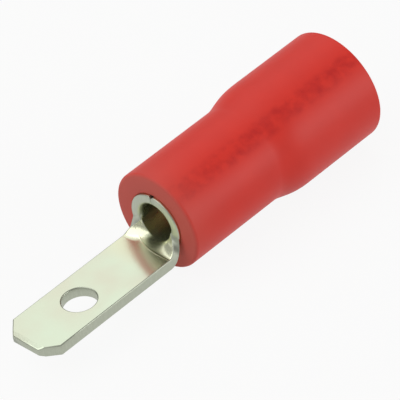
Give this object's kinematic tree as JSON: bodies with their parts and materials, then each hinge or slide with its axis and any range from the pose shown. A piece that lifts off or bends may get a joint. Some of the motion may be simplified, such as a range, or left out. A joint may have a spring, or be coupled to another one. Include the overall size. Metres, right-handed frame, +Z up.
{
  "type": "insulated male spade terminal",
  "caption": "Insulated crimp terminal with a flat male tab, a rolled seamed barrel and a moulded sleeve that widens into a bell for the wire.",
  "frame": {"origin": "on the barrel's axis, at the mouth of the metal barrel where the wire's strands go in", "axes": "+X along the barrel towards the wire entry, +Z up and square to the flat of the tab, +Y across the tab"},
  "size_m": [0.0188, 0.0052, 0.0052],
  "materials": {
    "tinned_metal": "brass sheet with a bright tin plating, so its colour is pale silver",
    "red_insulation": "moulded flexible plastic with a soft satin skin"
  },
  "bodies": {
    "root": {"tab_terminal": "tinned_metal", "insulating_sleeve": "red_insulation"}
  },
  "joints": []
}
